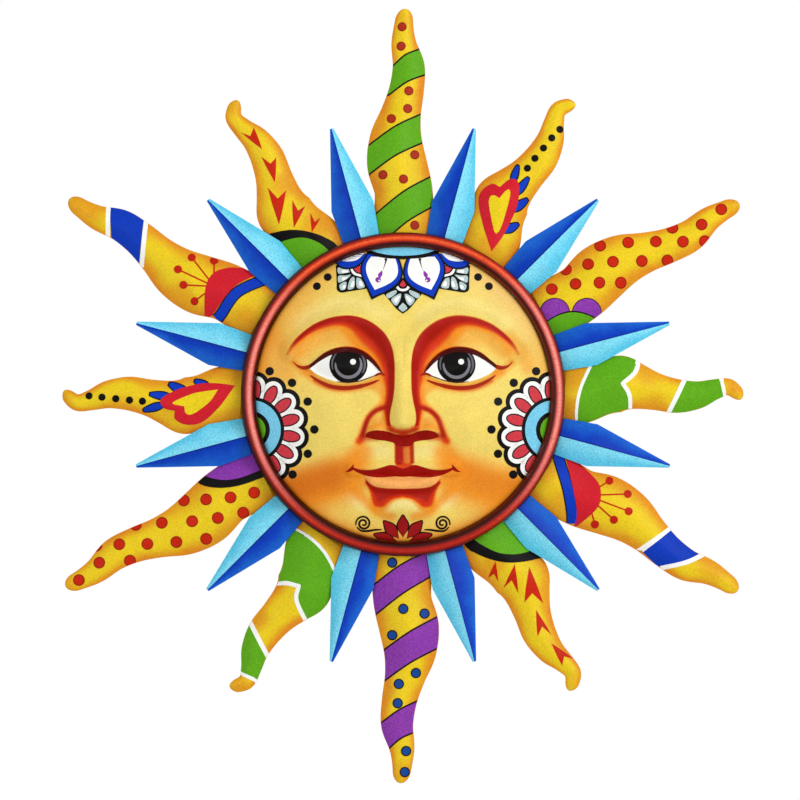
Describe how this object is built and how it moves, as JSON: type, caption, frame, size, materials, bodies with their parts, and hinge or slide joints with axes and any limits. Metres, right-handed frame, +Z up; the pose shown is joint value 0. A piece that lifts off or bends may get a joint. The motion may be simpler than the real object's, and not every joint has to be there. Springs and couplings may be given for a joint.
{
  "type": "metal sun face wall plaque",
  "caption": "Folk sun wall plaque: domed face in a round rim, wavy painted rays and ridged spikes on a hidden ring, hung by a keyhole strap.",
  "frame": {"origin": "middle of the rear face of the cross strap that the plaque hangs by, on the axis of the round face", "axes": "+Z up, -Y out of the front of the plaque towards the viewer, +Y into the wall, +X to the viewer's right"},
  "size_m": [0.352, 0.0426, 0.3994],
  "materials": {
    "face_enamel": "semi-gloss enamel, airbrushed yellow to orange",
    "rim_enamel": "semi-gloss red enamel",
    "ray_enamel": "semi-gloss yellow enamel with orange edges and painted motifs",
    "spike_enamel": "semi-gloss dark and light blue enamel",
    "black_enamel": "satin black paint",
    "rivet_steel": "zinc plated",
    "bumper_rubber": "matte"
  },
  "bodies": {
    "root": {"face_dish": "face_enamel", "rim_hoop": "rim_enamel", "back_ring": "black_enamel", "hanger_strap": "black_enamel", "ray_long_1": "ray_enamel", "ray_short_1": "ray_enamel", "ray_long_2": "ray_enamel", "ray_short_2": "ray_enamel", "ray_long_3": "ray_enamel", "ray_short_3": "ray_enamel", "ray_long_4": "ray_enamel", "ray_short_4": "ray_enamel", "ray_long_5": "ray_enamel", "ray_short_5": "ray_enamel", "ray_long_6": "ray_enamel", "ray_short_6": "ray_enamel", "spike_1": "spike_enamel", "spike_2": "spike_enamel", "spike_3": "spike_enamel", "spike_4": "spike_enamel", "spike_5": "spike_enamel", "spike_6": "spike_enamel", "spike_7": "spike_enamel", "spike_8": "spike_enamel", "spike_9": "spike_enamel", "spike_10": "spike_enamel", "spike_11": "spike_enamel", "spike_12": "spike_enamel", "ray_rivet_1": "rivet_steel", "spike_rivet_1": "rivet_steel", "ray_rivet_2": "rivet_steel", "spike_rivet_2": "rivet_steel", "ray_rivet_3": "rivet_steel", "spike_rivet_3": "rivet_steel", "ray_rivet_4": "rivet_steel", "spike_rivet_4": "rivet_steel", "ray_rivet_5": "rivet_steel", "spike_rivet_5": "rivet_steel", "ray_rivet_6": "rivet_steel", "spike_rivet_6": "rivet_steel", "ray_rivet_7": "rivet_steel", "spike_rivet_7": "rivet_steel", "ray_rivet_8": "rivet_steel", "spike_rivet_8": "rivet_steel", "ray_rivet_9": "rivet_steel", "spike_rivet_9": "rivet_steel", "ray_rivet_10": "rivet_steel", "spike_rivet_10": "rivet_steel", "ray_rivet_11": "rivet_steel", "spike_rivet_11": "rivet_steel", "ray_rivet_12": "rivet_steel", "spike_rivet_12": "rivet_steel", "strap_rivet_1": "rivet_steel", "strap_rivet_2": "rivet_steel", "strap_rivet_3": "rivet_steel", "strap_rivet_4": "rivet_steel", "bumper_right": "bumper_rubber", "bumper_left": "bumper_rubber"}
  },
  "joints": []
}
